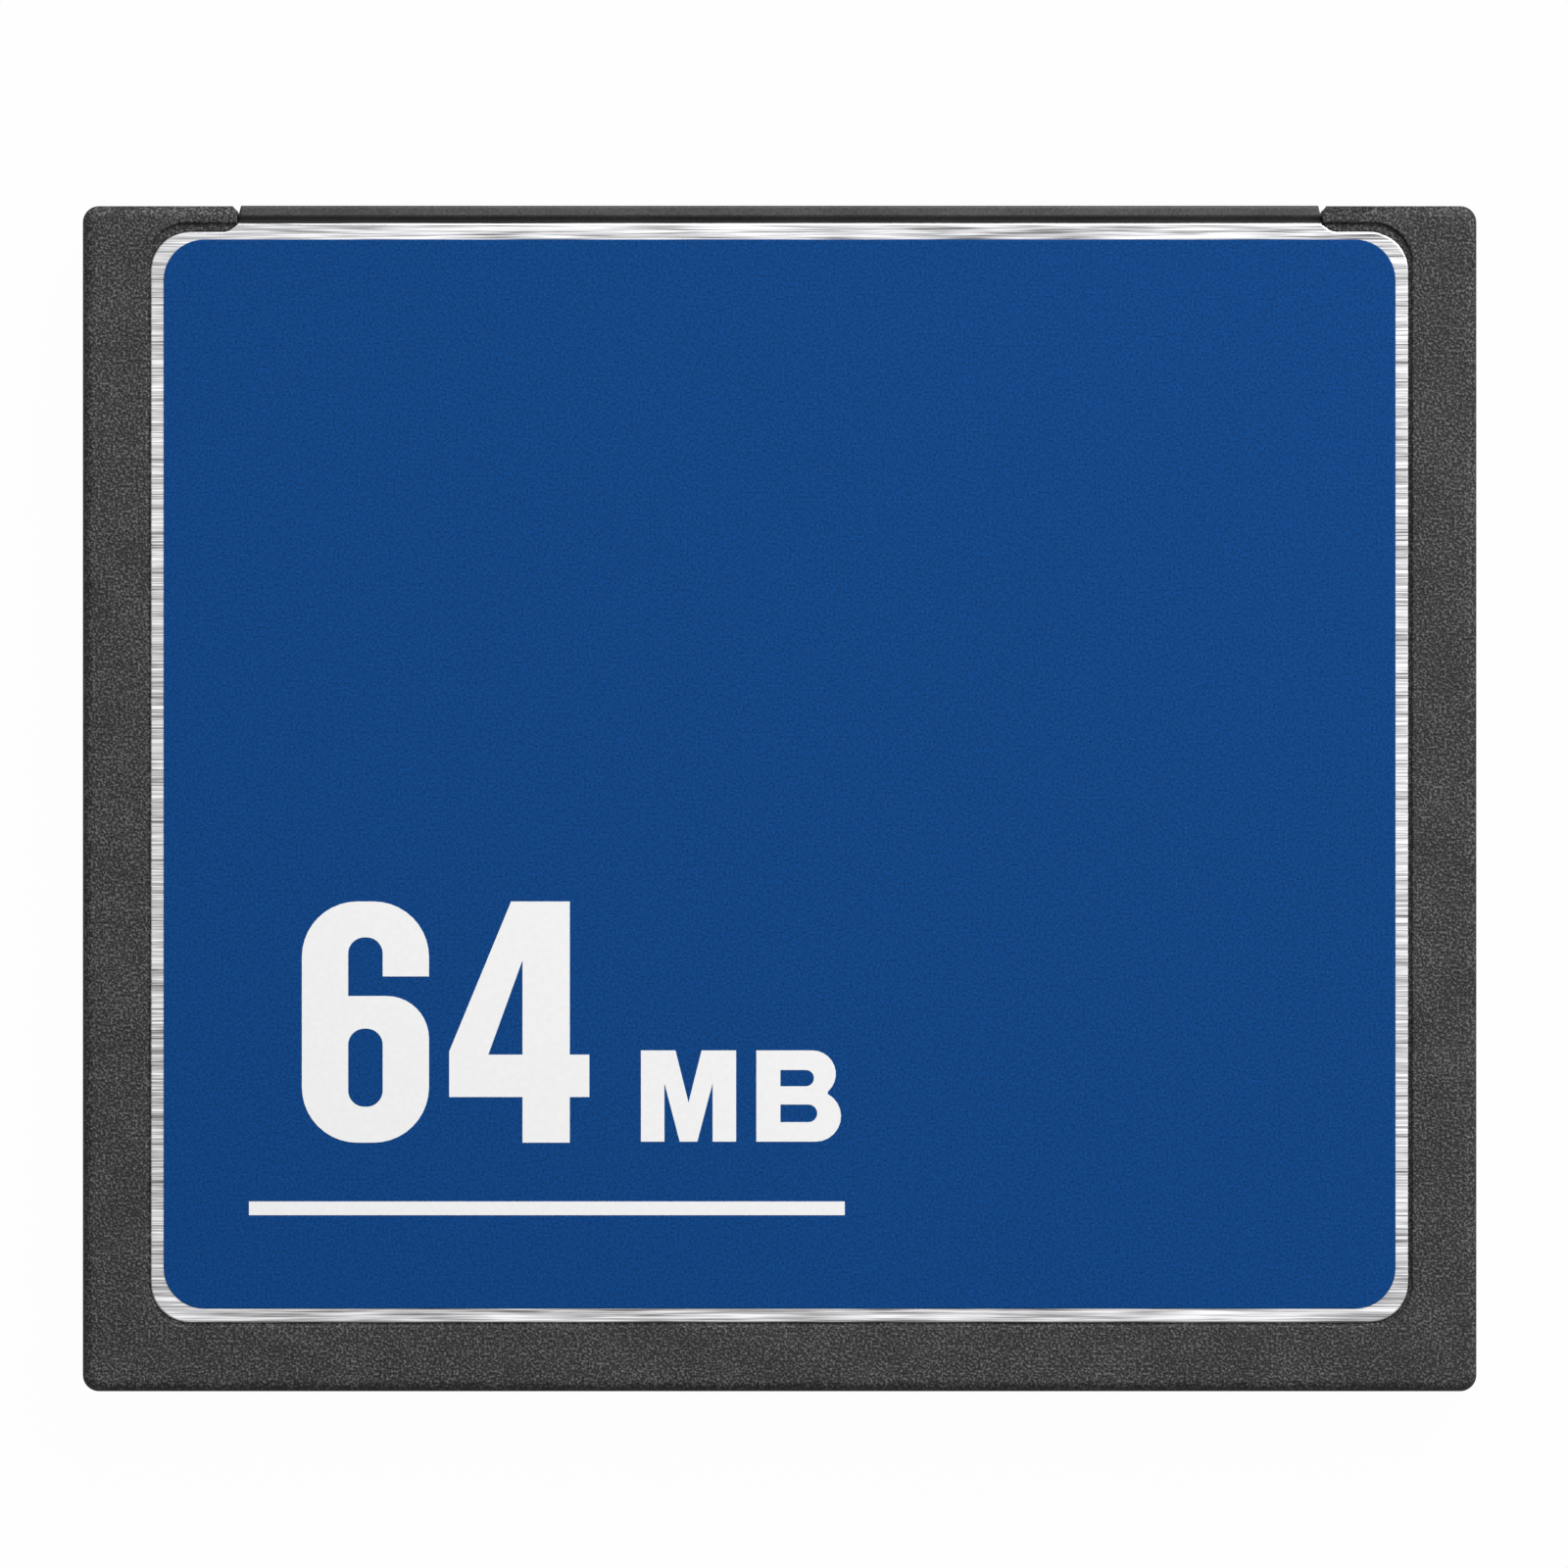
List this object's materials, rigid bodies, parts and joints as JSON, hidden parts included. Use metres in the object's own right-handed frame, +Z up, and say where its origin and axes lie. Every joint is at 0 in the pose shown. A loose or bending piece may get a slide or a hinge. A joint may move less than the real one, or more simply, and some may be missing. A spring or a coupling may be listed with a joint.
{
  "type": "memory card",
  "caption": "Flat removable memory card: a moulded frame in two halves round two pressed steel panels, a blue label, and a row of square sockets along one long edge.",
  "frame": {"origin": "centre of the underside, at the middle of the card's outline", "axes": "+X along the connector edge, +Y towards the connector edge, +Z up through the label"},
  "size_m": [0.0428, 0.0364, 0.0033],
  "materials": {
    "frame_plastic": "fine spark-eroded grain, charcoal",
    "panel_steel": "fine brushing along the connector edge",
    "label_film": "satin blue print on film",
    "insulator_film": "clear amber film",
    "connector_plastic": "smooth moulded, charcoal",
    "contact_metal": "gold plated",
    "board_laminate": "green solder mask",
    "chip_resin": "moulded resin",
    "lead_metal": "tin plated",
    "component_ceramic": "fired ceramic"
  },
  "bodies": {
    "root": {"upper_frame": "frame_plastic", "lower_frame": "frame_plastic", "upper_panel": "panel_steel", "lower_panel": "panel_steel", "label": "label_film", "upper_insulator": "insulator_film", "lower_insulator": "insulator_film", "connector_housing": "connector_plastic", "upper_contacts": "contact_metal", "lower_contacts": "contact_metal", "circuit_board": "board_laminate", "memory_chip": "chip_resin", "memory_chip_leads": "lead_metal", "controller_chip": "chip_resin", "controller_chip_leads": "lead_metal", "regulator": "chip_resin", "regulator_leads": "lead_metal", "ceramic_capacitors": "component_ceramic", "chip_resistors": "component_ceramic", "resistor_networks": "component_ceramic", "crystal_base": "component_ceramic", "crystal_lid": "lead_metal"}
  },
  "joints": []
}
